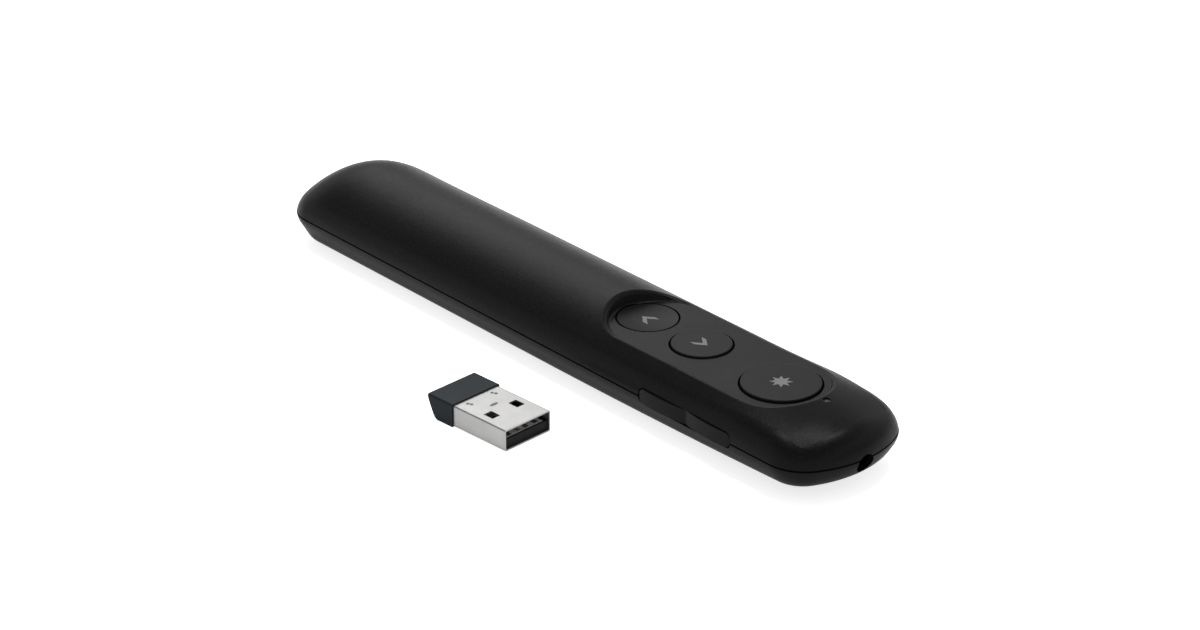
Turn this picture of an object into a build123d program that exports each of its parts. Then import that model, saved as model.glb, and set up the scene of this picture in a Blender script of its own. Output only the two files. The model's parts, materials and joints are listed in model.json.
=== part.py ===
from build123d import *
from math import cos, radians, sin, sqrt
import os

# Wireless presentation clicker with its USB receiver.
# Millimetres. +X points to the nose, where the laser leaves, and +Z is up.
# The origin is the middle of the handset's plan, on the flat that it rests on.

os.makedirs("parts", exist_ok=True)

# ---------------------------------------------------------------- handset envelope
body_length = 159.9
body_width = 30.3
crown_radius = 22.0          # arc of the top across the tail and the middle
nose_crown_radius = 30.0     # flatter arc of the top across the nose
shoulder_radius = 5.5        # rounding from the crown to the flanks
nose_bow = 5.6               # how far the nose bulges past its corners
nose_corner = 8.6
tail_bow = 1.3
tail_corner = 8.4
nose_fall = 29.35            # length of the nose over which the crown falls
nose_fall_radius = 97.0
nose_flattening = 15.0       # length over which the crown's arc changes to the nose's
tail_fall = 12.85
tail_fall_radius = 16.1
parting_z = 7.2              # plane between the two shells
parting_gap = 0.2            # dark line between them
skirt_drop = 1.0             # upright band of the lower shell under the parting plane
skirt_taper = 30.4           # lean of the lower shell's flanks, in degrees
waist_radius = 4.4
keel_radius = 4.9
lift_start = 2.0             # the underside is flat up to here, then lifts to the nose
lift_radius = 1190.0
wall = 1.5
lip_height = 1.0             # tongue of the lower shell inside the upper one
lip_clearance = 0.05

# ---------------------------------------------------------------- button bed and buttons
bed_depth = 2.65             # of the scooped bed at the previous button, below the crown
bed_slope = 0.25             # degrees, rising to the nose
bed_radius = 10.4            # of the bed's round ends, at the floor
bed_rear_inset = 4.0         # from the previous button's middle forward to the rear end's centre
bed_front_inset = 1.1        # from the laser button's middle back to the front end's centre
bed_flare = 13.0             # lean of the bed's walls, in degrees
bed_foot_radius = 0.5
bed_rim_radius = 0.9         # soft rim where the bed runs out into the crown
laser_button_setback = 22.95 # from the tip of the nose
laser_pitch = 21.9           # next button to laser button
button_pitch = 15.4          # previous button to next button
small_hole_radius = 6.4
laser_hole_radius = 8.15
button_gap = 0.4
button_travel = 0.5
button_top = 1.2             # thickness of a button's top
button_skirt = 1.0
flange_reach = 0.9
flange_thickness = 0.8
flange_gap = 0.2             # below the shell, at rest
press_margin = 0.35          # left under the flange when a button is pressed
next_button_rise = 0.35      # above the bed
laser_button_rise = 0.45
button_edge = 0.25
dish_radius = 45.0           # hollow in the previous button's top
stem_radius = 1.5

# ---------------------------------------------------------------- board and switches
board_thickness = 1.0
board_clearance = 0.15
board_side_gap = 4.15        # from the flank to the board's edge
board_tongue_half_width = 6.0
board_tongue_length = 9.5
board_corner = 1.5
radio_size = 4.0
radio_thickness = 0.9
radio_chamfer = 0.15
crystal_length = 5.0
crystal_width = 3.2
crystal_height = 1.1
crystal_corner = 0.8
crystal_gap = 2.4            # from the radio chip
led_length = 1.6
led_width = 0.8
led_dome_length = 1.1
board_front_gap = 7.2        # from the tip of the nose to the end of the board's tongue
switch_size = 5.2
switch_height = 1.0
plunger_radius = 1.2
plunger_clearance = 0.05
plunger_depth = 0.4          # of the plunger inside its switch at rest
board_screw_edge = 1.6       # from the board's side edge
board_screw_rear = 7.5       # from the board's rear end
board_screw_front = 7.8      # ahead of the previous button
screw_radius = 1.0
screw_head_radius = 1.75
screw_head_height = 1.0
screw_clearance = 0.1
boss_wall = 1.2
led_setback = 11.65          # from the tip of the nose
led_y = 0.8
led_height = 0.6
guide_radius = 0.65
guide_clearance = 0.1
guide_recess = 0.25

# ---------------------------------------------------------------- laser module
barrel_radius = 3.0
barrel_length = 13.0
barrel_setback = 8.6         # from the tip of the nose to the barrel's front
barrel_bore = 2.3
aperture_radius = 2.0
lens_thickness = 1.4
lens_radius = 6.0
diode_length = 2.4
diode_radius = 2.0
pin_radius = 0.25
saddle_width = 9.0
saddle_thickness = 1.2

# ---------------------------------------------------------------- side key
key_setback = 33.4           # from the tip of the nose to the key's middle
key_length = 25.1
key_height = 3.0
key_gap = 0.25
key_corner = 1.3
key_z = 7.5
key_proud = 0.15
key_valley = 0.75
key_depth = 2.0
key_flange_reach = 0.8
key_flange_thickness = 0.7
key_wall_gap = 0.5           # behind the shell's wall, so that the ends can swing out
key_pivot_inset = 3.6        # from the flank to the pin's axis
key_hub_radius = 1.5
key_pin_radius = 0.75
key_pin_clearance = 0.05
side_switch_spread = 9.5     # from the key's middle to each side switch
side_switch_length = 4.5
side_switch_depth = 3.0
side_switch_drop = 1.6       # of the side switches below the key's middle
side_plunger_radius = 0.8
side_plunger_reach = 0.9
key_pad = 0.25

# ---------------------------------------------------------------- power switch
power_setback = 5.7          # from the previous button's middle back to the slider
power_travel = 2.0
power_knob_length = 3.0
power_knob_height = 2.0
power_knob_proud = 0.4
power_knob_thickness = 1.1
power_neck = 1.4
power_body_length = 8.6
power_body_depth = 3.2
power_body_height = 3.3
power_gap = 0.3

# ---------------------------------------------------------------- battery, contacts and bays
cell_diameter = 10.5
cell_length = 43.7
nub_length = 0.8
nub_radius = 1.9
cell_gap = 0.25
cell_headroom = 1.55         # above the cell, where the crown falls towards the tail
spring_length = 4.3
spring_wire = 0.35
spring_turns = 3
contact_thickness = 0.3
contact_width = 8.0
bay_wall = 1.0
lead_radius = 0.5
receiver_bay_length = 21.4
housing_screw_inset = 5.0    # from the ends of the receiver's bay
receiver_bay_width = 13.2
receiver_bay_height = 5.0

# ---------------------------------------------------------------- battery door
door_half_width = 8.6
door_flange_reach = 1.0
door_thickness = 2.5
door_skin = 1.2
slide_gap = 0.15
deck_thickness = 1.2
grip_count = 5
grip_pitch = 1.6
grip_depth = 0.35
grip_length = 9.0

# ---------------------------------------------------------------- USB receiver
plug_width = 12.0
plug_height = 4.5
plug_length = 14.25
plug_sheet = 0.3
plug_corner = 0.45
window_width = 2.0
window_length = 2.5
window_setback = 6.4         # from the mouth to a window's middle
window_spread = 3.25
tongue_height = 1.95         # leaves room above it for the socket's own tongue
tongue_setback = 0.4
tongue_length = 12.5
card_inset = 0.5             # from the tongue's front to the board inlaid in its top
card_width = 9.8
card_thickness = 0.4
card_clearance = 0.05
card_tail = 3.4              # how far the board reaches into the cap
contact_strip_width = 1.0
contact_strip_length = 7.4
contact_strip_thickness = 0.05
contact_strip_setback = 0.9
contact_outer_y = 3.5
contact_inner_y = 1.0
cap_length = 6.8
cap_overlap = 0.3            # how far the cap stands out from the plug's top and sides
cap_slant = 2.6              # how far the cap's rear face runs in towards the bottom
cap_wall = 0.9
cap_edge = 0.4
chip_size = 3.0
chip_thickness = 0.7
receiver_x = 23.75           # middle of the plug's mouth, beside the handset
receiver_y = -34.1
receiver_turn = 4.0          # degrees about +Z

# ---------------------------------------------------------------- what follows from those
half_width = body_width / 2
cell_radius = cell_diameter / 2
cell_z = door_thickness + slide_gap + cell_radius
body_height = cell_z + cell_radius + cell_headroom + wall
bed_z = body_height - bed_depth
board_half_width = half_width - board_side_gap
board_screw_y = board_half_width - board_screw_edge
nose_x = body_length / 2
tail_x = -body_length / 2
skirt_z = parting_z - skirt_drop
laser_x = nose_x - laser_button_setback
next_x = laser_x - laser_pitch
previous_x = next_x - button_pitch
power_x = previous_x - power_setback
bed_rise = sin(radians(bed_slope)) / cos(radians(bed_slope))
board_top = bed_z - wall - flange_gap - flange_thickness - button_travel - press_margin
board_z = board_top - board_thickness
switch_top = board_top + switch_height
plunger_top = switch_top + button_travel + plunger_clearance
laser_z = board_z - board_clearance - barrel_radius
barrel_front = nose_x - barrel_setback
barrel_back = barrel_front - barrel_length
key_x = nose_x - key_setback
side_switch_y = -board_half_width
led_x = nose_x - led_setback
board_front = nose_x - board_front_gap
deck_z = door_thickness + slide_gap
deck_top = deck_z + deck_thickness
contact_back = tail_x + wall + bay_wall
spring_back = contact_back + contact_thickness
cell_back = spring_back + spring_length
nub_front = cell_back + cell_length + nub_length
bulkhead_x = nub_front + contact_thickness
receiver_bay_back = bulkhead_x + bay_wall
receiver_bay_front = receiver_bay_back + receiver_bay_length
receiver_bay_top = deck_z + receiver_bay_height
roof_top = receiver_bay_top + bay_wall
door_front = receiver_bay_front + bay_wall
board_back = receiver_bay_back + bay_wall
board_wide_front = board_front - board_tongue_length
housing_screw_xs = [receiver_bay_back + housing_screw_inset, receiver_bay_front - housing_screw_inset]
screw_post_radius = screw_radius + boss_wall
flange_back = previous_x - small_hole_radius + button_gap - flange_reach
radio_x = (housing_screw_xs[-1] + screw_post_radius + flange_back) / 2
crystal_y = (radio_size + crystal_width) / 2 + crystal_gap
board_screws_at = [
    (x, y)
    for x in (board_back + board_screw_rear, previous_x + board_screw_front)
    for y in (board_screw_y, -board_screw_y)
]


def crown_top(x):
    """Height of the crown's highest line at x."""
    past_tail = tail_x + tail_fall - x
    past_nose = x - (nose_x - nose_fall)
    if past_tail > 0:
        return body_height - tail_fall_radius + sqrt(tail_fall_radius**2 - past_tail**2)
    if past_nose > 0:
        return body_height - nose_fall_radius + sqrt(nose_fall_radius**2 - past_nose**2)
    return body_height


def crown_arc(x):
    """Radius of the crown across the body at x."""
    share = min(max((x - (nose_x - nose_fall)) / nose_flattening, 0), 1)
    return 1 / ((1 - share) / crown_radius + share / nose_crown_radius)


def underside(x):
    """Height of the underside at x."""
    if x < lift_start:
        return 0
    return lift_radius - sqrt(lift_radius**2 - (x - lift_start) ** 2)


def bed_height(x):
    """Height of the button bed's floor at x."""
    return bed_z + bed_rise * (x - previous_x)


def plan_outline(inset=0.0):
    """Plan of the handset: straight flanks, bowed ends and round corners."""
    with BuildSketch() as outline:
        with BuildLine():
            nose = ThreePointArc(
                (nose_x - nose_bow, half_width), (nose_x, 0), (nose_x - nose_bow, -half_width)
            )
            tail = ThreePointArc(
                (tail_x + tail_bow, -half_width), (tail_x, 0), (tail_x + tail_bow, half_width)
            )
            Line(nose @ 1, tail @ 0)
            Line(tail @ 1, nose @ 0)
        make_face()
        fillet(outline.vertices().group_by(Axis.X)[-1], nose_corner)
        fillet(outline.vertices().group_by(Axis.X)[0], tail_corner)
        if inset:
            offset(amount=-inset, mode=Mode.REPLACE)
    return outline.sketch


def upper_form(inset=0.0):
    """The upper half as a solid, shrunk by inset all round."""
    reach = half_width + 1
    tail_run = [tail_x + tail_fall * share for share in (-0.12, 0.12, 0.35, 0.66, 1, 1.3)]
    middle = [-body_length / 4, 0, body_length / 4.5]
    nose_run = [nose_x - nose_fall * share for share in (1.14, 0.93, 0.76, 0.62, 0.49, 0.25, -0.05)]
    with BuildPart() as crown:
        for x in tail_run + middle + nose_run:
            top = crown_top(x) - inset
            arc = crown_arc(x) - inset
            edge = top - arc + sqrt(arc**2 - reach**2)
            with BuildSketch(Plane.YZ.offset(x)):
                with BuildLine():
                    rim = ThreePointArc((-reach, edge), (0, top), (reach, edge))
                    Polyline(rim @ 1, (reach, -crown_radius), (-reach, -crown_radius), rim @ 0)
                make_face()
        loft()
    with BuildPart() as form:
        with BuildSketch(Plane.XY.offset(skirt_z - shoulder_radius)):
            add(plan_outline(inset))
        extrude(amount=2 * body_height)
        add(crown.part, mode=Mode.INTERSECT)
        rim = form.edges().filter_by(lambda edge: edge.bounding_box().min.Z > skirt_z)
        fillet(rim, shoulder_radius - inset)
    return form.part


def lower_form(inset=0.0):
    """The lower half as a solid, shrunk by inset all round."""
    far = nose_x + 5
    mid = (lift_start + far) / 2
    with BuildPart() as form:
        with BuildSketch(Plane.XY.offset(skirt_z)) as top:
            add(plan_outline(inset))
        extrude(amount=skirt_drop + shoulder_radius)
        extrude(top.sketch, amount=-skirt_z - 1, taper=skirt_taper)
        with BuildSketch(Plane.XZ.offset(body_width)):
            with BuildLine():
                Line((tail_x - 5, inset), (lift_start, inset))
                lift = ThreePointArc(
                    (lift_start, inset), (mid, underside(mid) + inset), (far, underside(far) + inset)
                )
                Polyline(lift @ 1, (far, -5), (tail_x - 5, -5), (tail_x - 5, inset))
            make_face()
        extrude(amount=-2 * body_width, mode=Mode.SUBTRACT)
        low = form.edges().filter_by(lambda edge: edge.bounding_box().max.Z < inset + skirt_z / 2)
        keel = low.filter_by(lambda edge: abs(edge.center().Y) > 1 or abs(edge.center().X) > mid)
        fillet(keel, keel_radius - inset)
        waist = form.edges().filter_by(Plane.XY).filter_by_position(Axis.Z, skirt_z - 0.01, skirt_z + 0.01)
        fillet(waist, waist_radius - inset)
    return form.part


def button_bed(grow=0.0):
    """Cutter for the scooped bed round the buttons, or for the hollow below it."""
    floor = Plane(
        origin=(previous_x, 0, bed_z - grow),
        x_dir=(1, 0, bed_rise),
        z_dir=(-bed_rise, 0, 1),
    )
    run = laser_x - bed_front_inset - previous_x - bed_rear_inset
    with BuildPart() as bed:
        with BuildSketch(floor):
            with Locations((bed_rear_inset + run / 2, 0)):
                SlotCenterToCenter(run, 2 * (bed_radius + grow))
        extrude(amount=body_height / 2, taper=-bed_flare)
        if not grow:
            fillet(bed.faces().sort_by(Axis.Z)[0].edges(), bed_foot_radius)
    return bed.part


def keep_inside(solid_part, form):
    """Trim a rib, post or deck to the inside of a form."""
    with BuildPart() as trimmed:
        add(solid_part)
        add(form, mode=Mode.INTERSECT)
    return trimmed.part


upper_outside = upper_form()
upper_middle = upper_form(wall / 2)
lower_outside = lower_form()
lower_middle = lower_form(wall / 2)

# ---------------------------------------------------------------- openings on the parting line
with BuildPart() as key_opening:
    with BuildSketch(Plane.XZ.offset(half_width + 1)):
        with Locations((key_x, key_z)):
            RectangleRounded(key_length + 2 * key_gap, key_height + 2 * key_gap, key_corner + key_gap)
    extrude(amount=-1 - key_depth - key_gap)
    with BuildSketch(Plane.XZ.offset(half_width - wall)):
        with Locations((key_x, key_z)):
            Rectangle(
                key_length + 2 * key_flange_reach + 4 * key_gap,
                key_height + 2 * key_flange_reach + 2 * key_gap,
            )
    extrude(amount=-wall)

with BuildPart() as power_opening:
    power_z = board_z - power_body_height / 2
    with BuildSketch(Plane.XZ.offset(-half_width - 1)):
        with Locations((power_x + power_travel / 2, power_z)):
            RectangleRounded(
                power_knob_length + power_travel + 2 * power_gap, power_knob_height + 2 * power_gap, 0.6
            )
    extrude(amount=1 + wall + power_gap)

with BuildPart() as laser_passage:
    with BuildSketch(Plane.YZ.offset(barrel_back - 2 * pin_radius)):
        with Locations((0, laser_z)):
            Circle(barrel_radius + lip_clearance)
    extrude(amount=barrel_length + 4 * pin_radius)
    with BuildSketch(Plane.YZ.offset(barrel_front)):
        with Locations((0, laser_z)):
            Circle(aperture_radius)
    extrude(amount=barrel_setback + 2)

# ---------------------------------------------------------------- upper shell
with BuildPart() as upper_hollow:
    add(upper_form(wall))
    add(button_bed(wall), mode=Mode.SUBTRACT)

with BuildPart() as upper_posts:
    with BuildSketch(Plane.XY.offset(board_top)):
        with Locations(*board_screws_at):
            Circle(screw_post_radius)
    extrude(amount=body_height)
    with BuildSketch(Plane.XY.offset(board_z)):
        with Locations(*[(x, 0) for x in housing_screw_xs]):
            Circle(screw_post_radius)
    extrude(amount=body_height)
    with BuildSketch(Plane.XY.offset(board_top + led_height + guide_clearance)):
        with Locations((led_x, led_y)):
            Circle(guide_radius + guide_clearance + boss_wall / 2)
    extrude(amount=body_height)
    add(button_bed(wall / 2), mode=Mode.SUBTRACT)

with BuildPart() as upper_shell:
    add(upper_outside)
    add(button_bed(), mode=Mode.SUBTRACT)
    fillet(upper_shell.edges(Select.NEW), bed_rim_radius)
    add(upper_hollow.part, mode=Mode.SUBTRACT)
    add(keep_inside(upper_posts.part, upper_middle))
    with BuildSketch(Plane.XY.offset(board_top)):
        with Locations((previous_x, 0), (next_x, 0)):
            Circle(small_hole_radius)
        with Locations((laser_x, 0)):
            Circle(laser_hole_radius)
    extrude(amount=body_height, mode=Mode.SUBTRACT)
    with BuildSketch(Plane.XY.offset(board_top)):
        with Locations((led_x, led_y)):
            Circle(guide_radius + guide_clearance)
    extrude(amount=body_height, mode=Mode.SUBTRACT)
    with BuildSketch(Plane.XY.offset(board_z)):
        with Locations(*board_screws_at, *[(x, 0) for x in housing_screw_xs]):
            Circle(screw_radius)
    extrude(amount=bed_z - wall - board_z, mode=Mode.SUBTRACT)
    with BuildSketch(Plane.XY.offset(parting_z - 1)):
        add(plan_outline(wall / 2))
    extrude(amount=1 + parting_gap / 2 + lip_height + lip_clearance, mode=Mode.SUBTRACT)
    add(key_opening.part, mode=Mode.SUBTRACT)
    add(power_opening.part, mode=Mode.SUBTRACT)
    add(laser_passage.part, mode=Mode.SUBTRACT)
    split(bisect_by=Plane.XY.offset(parting_z + parting_gap / 2), keep=Keep.TOP)

# ---------------------------------------------------------------- battery door and its slide
def door_section(grow):
    """T-shaped section of the door, or of the slot it slides in."""
    with BuildSketch(Plane.YZ.offset(tail_x - 2)) as section:
        with Locations((0, -1)):
            Rectangle(2 * (door_half_width + grow), door_thickness + grow + 1, align=(Align.CENTER, Align.MIN))
        with Locations((0, wall + slide_gap - grow)):
            Rectangle(
                2 * (door_half_width + door_flange_reach + grow),
                door_thickness - wall - slide_gap + 2 * grow,
                align=(Align.CENTER, Align.MIN),
            )
    return section.sketch


with BuildPart() as battery_door:
    extrude(door_section(0.0), amount=door_front - tail_x + 2)
    add(lower_outside, mode=Mode.INTERSECT)
    hollow_back = tail_x + 3 * wall
    with BuildSketch(Plane.XY.offset(door_skin)):
        with Locations(((hollow_back + door_front - bay_wall) / 2, 0)):
            RectangleRounded(
                door_front - bay_wall - hollow_back, 2 * (door_half_width - bay_wall), board_corner
            )
    extrude(amount=door_thickness, mode=Mode.SUBTRACT)
    with BuildSketch(Plane.XZ.offset(-grip_length / 2)):
        with Locations((door_front - 3 * grip_pitch, 0)):
            with GridLocations(grip_pitch, 1, grip_count, 1):
                Circle(grip_depth)
    extrude(amount=grip_length, mode=Mode.SUBTRACT)

with BuildPart() as door_slot:
    extrude(door_section(slide_gap), amount=door_front + slide_gap - tail_x + 2)

# ---------------------------------------------------------------- lower shell
with BuildPart() as lower_deck:
    with BuildSketch(Plane.XY.offset(deck_z)):
        with Locations(((tail_x + door_front) / 2, 0)):
            Rectangle(door_front - tail_x, body_width)
    extrude(amount=deck_thickness)

with BuildPart() as lower_ribs:
    with BuildSketch(Plane.XY.offset(deck_z)):
        with Locations((contact_back - bay_wall / 2, 0)):
            Rectangle(
                bulkhead_x - contact_back + bay_wall / 2,
                2 * (cell_radius + cell_gap + bay_wall),
                align=(Align.MIN, Align.CENTER),
            )
    extrude(amount=cell_z - deck_z)
    with BuildSketch(Plane.XY.offset(deck_z)):
        with Locations((bulkhead_x, 0)):
            Rectangle(bay_wall, 2 * (cell_radius + cell_gap), align=(Align.MIN, Align.CENTER))
    extrude(amount=board_z - contact_thickness - deck_z)
    with BuildSketch(Plane.XY.offset(deck_z)):
        with Locations((receiver_bay_back - bay_wall, 0)):
            Rectangle(
                receiver_bay_length + 2 * bay_wall,
                receiver_bay_width + 2 * bay_wall,
                align=(Align.MIN, Align.CENTER),
            )
    extrude(amount=roof_top - deck_z)
    with BuildSketch(Plane.XY.offset(receiver_bay_top)):
        with Locations(*[(x, 0) for x in housing_screw_xs]):
            Circle(screw_head_radius + screw_clearance + bay_wall)
    extrude(amount=board_z - receiver_bay_top)

with BuildPart() as lower_saddles:
    for x in (barrel_back + 2 * saddle_thickness, barrel_front - 2 * saddle_thickness):
        with BuildSketch(Plane.YZ.offset(x - saddle_thickness / 2)):
            with Locations((0, 0)):
                Rectangle(saddle_width, laser_z, align=(Align.CENTER, Align.MIN))
        extrude(amount=saddle_thickness)
    with BuildSketch():
        with Locations((key_x, -half_width + key_pivot_inset)):
            Circle(key_pin_radius + boss_wall)
    extrude(amount=key_z - key_height / 2 - key_gap - slide_gap)

with BuildPart() as lower_shell:
    add(lower_outside)
    add(lower_form(wall), mode=Mode.SUBTRACT)
    add(keep_inside(lower_deck.part, lower_middle))
    add(keep_inside(lower_saddles.part, lower_middle))
    split(bisect_by=Plane.XY.offset(parting_z - parting_gap / 2), keep=Keep.BOTTOM)
    with BuildSketch(Plane.XY.offset(parting_z - wall)):
        add(plan_outline(wall / 2 + lip_clearance))
        add(plan_outline(wall), mode=Mode.SUBTRACT)
    extrude(amount=wall - parting_gap / 2 + lip_height)
    add(lower_ribs.part)
    # battery bay, open below
    with BuildSketch(Plane.XY.offset(deck_z - 1)):
        with Locations((contact_back, 0)):
            Rectangle(
                bulkhead_x - contact_back, 2 * (cell_radius + cell_gap), align=(Align.MIN, Align.CENTER)
            )
    extrude(amount=body_height, mode=Mode.SUBTRACT)
    # receiver bay, open below and roofed above
    with BuildSketch(Plane.XY.offset(deck_z - 1)):
        with Locations((receiver_bay_back, 0)):
            Rectangle(receiver_bay_length, receiver_bay_width, align=(Align.MIN, Align.CENTER))
    extrude(amount=1 + receiver_bay_height, mode=Mode.SUBTRACT)
    with BuildSketch(Plane.XY.offset(receiver_bay_top - 1)):
        with Locations(*[(x, 0) for x in housing_screw_xs]):
            Circle(screw_head_radius + screw_clearance)
    extrude(amount=1 + screw_head_height + screw_clearance, mode=Mode.SUBTRACT)
    with BuildSketch(Plane.XY.offset(receiver_bay_top)):
        with Locations(*[(x, 0) for x in housing_screw_xs]):
            Circle(screw_radius + screw_clearance)
    extrude(amount=body_height, mode=Mode.SUBTRACT)
    with BuildSketch(Plane.XY.offset(wall + underside(key_x))):
        with Locations((key_x, -half_width + key_pivot_inset)):
            Circle(key_pin_radius)
    extrude(amount=body_height, mode=Mode.SUBTRACT)
    add(door_slot.part, mode=Mode.SUBTRACT)
    add(key_opening.part, mode=Mode.SUBTRACT)
    add(power_opening.part, mode=Mode.SUBTRACT)
    add(laser_passage.part, mode=Mode.SUBTRACT)


# ---------------------------------------------------------------- buttons, plungers and switches
def button_cap(x, hole_radius, rise):
    """Round push button: a hollow cap, a flange under the shell and a stem."""
    radius = hole_radius - button_gap
    top = bed_height(x) + rise
    flange_top = bed_height(x - hole_radius) - wall - flange_gap
    with BuildPart() as cap:
        with BuildSketch(Plane.XY.offset(flange_top - flange_thickness)):
            with Locations((x, 0)):
                Circle(radius)
        extrude(amount=top - flange_top + flange_thickness)
        if rise:
            fillet(cap.edges().group_by(Axis.Z)[-1], button_edge)
        else:
            with Locations((x, 0, top + dish_radius - radius**2 / (2 * dish_radius))):
                Sphere(dish_radius, mode=Mode.SUBTRACT)
        with BuildSketch(Plane.XY.offset(flange_top - flange_thickness)):
            with Locations((x, 0)):
                Circle(radius + flange_reach)
        extrude(amount=flange_thickness)
        with BuildSketch(Plane.XY.offset(flange_top - flange_thickness)):
            with Locations((x, 0)):
                Circle(radius - button_skirt)
        extrude(amount=top - button_top - flange_top + flange_thickness, mode=Mode.SUBTRACT)
        with BuildSketch(Plane.XY.offset(plunger_top)):
            with Locations((x, 0)):
                Circle(stem_radius)
        extrude(amount=top - button_top - plunger_top + button_edge)
    return cap.part


def tact_switch(x):
    """Body of a tactile switch on the board, with the bore its plunger moves in."""
    with BuildPart() as switch:
        with BuildSketch(Plane.XY.offset(board_top)):
            with Locations((x, 0)):
                RectangleRounded(switch_size, switch_size, plunger_clearance * 6)
        extrude(amount=switch_height)
        with BuildSketch(Plane.XY.offset(switch_top - plunger_depth - button_travel - plunger_clearance)):
            with Locations((x, 0)):
                Circle(plunger_radius + plunger_clearance)
        extrude(amount=switch_height, mode=Mode.SUBTRACT)
    return switch.part


def tact_plunger(x):
    """Plunger of a tactile switch: it travels with the button above it."""
    with BuildPart() as plunger:
        with BuildSketch(Plane.XY.offset(switch_top - plunger_depth)):
            with Locations((x, 0)):
                Circle(plunger_radius)
        extrude(amount=plunger_top - switch_top + plunger_depth)
    return plunger.part


previous_button = button_cap(previous_x, small_hole_radius, 0.0)
next_button = button_cap(next_x, small_hole_radius, next_button_rise)
laser_button = button_cap(laser_x, laser_hole_radius, laser_button_rise)
previous_switch = tact_switch(previous_x)
next_switch = tact_switch(next_x)
laser_switch = tact_switch(laser_x)
previous_plunger = tact_plunger(previous_x)
next_plunger = tact_plunger(next_x)
laser_plunger = tact_plunger(laser_x)

# ---------------------------------------------------------------- main board and what it carries
with BuildPart() as main_board:
    with BuildSketch(Plane.XY.offset(board_z)) as board_plan:
        with Locations((board_back, 0)):
            Rectangle(board_wide_front - board_back, 2 * board_half_width, align=(Align.MIN, Align.CENTER))
            Rectangle(board_front - board_back, 2 * board_tongue_half_width, align=(Align.MIN, Align.CENTER))
        fillet(board_plan.vertices(), board_corner)
        with Locations(*board_screws_at):
            Circle(screw_radius + screw_clearance, mode=Mode.SUBTRACT)
        with Locations(*[(x, 0) for x in housing_screw_xs]):
            Circle(screw_post_radius + 2 * screw_clearance, mode=Mode.SUBTRACT)
    extrude(amount=board_thickness)

with BuildPart() as status_led:
    with BuildSketch(Plane.XY.offset(board_top)):
        with Locations((led_x, led_y)):
            Rectangle(led_length, led_width)
    extrude(amount=led_height / 2)
    with BuildSketch(Plane.XY.offset(board_top)):
        with Locations((led_x, led_y)):
            Rectangle(led_dome_length, led_width)
    extrude(amount=led_height)

with BuildPart() as light_guide:
    guide_top = crown_top(led_x) - guide_recess
    with BuildSketch(Plane.XY.offset(board_top + led_height + guide_clearance)):
        with Locations((led_x, led_y)):
            Circle(guide_radius)
    extrude(amount=guide_top - board_top - led_height - guide_clearance)

with BuildPart() as radio_chip:
    with BuildSketch(Plane.XY.offset(board_top)):
        with Locations((radio_x, 0)):
            Rectangle(radio_size, radio_size)
    extrude(amount=radio_thickness)
    chamfer(radio_chip.edges().group_by(Axis.Z)[-1], radio_chamfer)

with BuildPart() as crystal_can:
    with BuildSketch(Plane.XY.offset(board_top)):
        with Locations((radio_x, crystal_y)):
            RectangleRounded(crystal_length, crystal_width, crystal_corner)
    extrude(amount=crystal_height)


def pan_screw(x, y, head_z, length):
    """Self-tapping screw that points up, with its head at head_z."""
    with BuildPart() as screw:
        with Locations((x, y, head_z)):
            Cylinder(screw_head_radius, screw_head_height, align=(Align.CENTER, Align.CENTER, Align.MIN))
        chamfer(screw.edges().group_by(Axis.Z)[0], screw_head_height * 0.3)
        with Locations((x, y, head_z + screw_head_height)):
            Cylinder(screw_radius, length, align=(Align.CENTER, Align.CENTER, Align.MIN))
        chamfer(screw.edges().group_by(Axis.Z)[-1], screw_radius * 0.5)
        with Locations((x, y, head_z)):
            Box(screw_head_radius * 1.2, 0.5, screw_head_height * 0.8, mode=Mode.SUBTRACT)
            Box(0.5, screw_head_radius * 1.2, screw_head_height * 0.8, mode=Mode.SUBTRACT)
    return screw.part


board_screw_length = board_thickness + wall
board_screws = Compound(
    children=[pan_screw(x, y, board_z - screw_head_height, board_screw_length) for x, y in board_screws_at]
)
housing_head_z = receiver_bay_top + screw_clearance
housing_screw_length = bed_z - wall - housing_head_z - screw_head_height - boss_wall
housing_screws = Compound(
    children=[pan_screw(x, 0, housing_head_z, housing_screw_length) for x in housing_screw_xs]
)

# ---------------------------------------------------------------- laser module
with BuildPart() as laser_barrel:
    with BuildSketch(Plane.YZ.offset(barrel_back)):
        with Locations((0, laser_z)):
            Circle(barrel_radius)
    extrude(amount=barrel_length)
    chamfer(laser_barrel.edges().group_by(Axis.X)[-1], 0.3)
    with BuildSketch(Plane.YZ.offset(barrel_back)):
        with Locations((0, laser_z)):
            Circle(barrel_bore)
    extrude(amount=barrel_length, mode=Mode.SUBTRACT)

with BuildPart() as laser_lens:
    lens_edge = sqrt(lens_radius**2 - barrel_bore**2)
    with BuildSketch(Plane.YZ.offset(barrel_front - 2 * lens_thickness)):
        with Locations((0, laser_z)):
            Circle(barrel_bore)
    extrude(amount=lens_thickness)
    with Locations((barrel_front - lens_thickness - lens_radius, 0, laser_z)):
        Sphere(lens_radius, mode=Mode.INTERSECT)

with BuildPart() as laser_diode:
    with BuildSketch(Plane.YZ.offset(barrel_back)):
        with Locations((0, laser_z)):
            Circle(barrel_bore)
    extrude(amount=diode_length / 3)
    with BuildSketch(Plane.YZ.offset(barrel_back)):
        with Locations((0, laser_z)):
            Circle(diode_radius)
    extrude(amount=diode_length)
    with BuildSketch(Plane.YZ.offset(barrel_back)):
        with Locations((0, laser_z)):
            with PolarLocations(diode_radius / 2, 3):
                Circle(pin_radius)
    extrude(amount=-2 * pin_radius)

# ---------------------------------------------------------------- side key
key_face = -half_width - key_proud
pivot_y = -half_width + key_pivot_inset
key_flange_y = -half_width + wall + key_wall_gap

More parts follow.
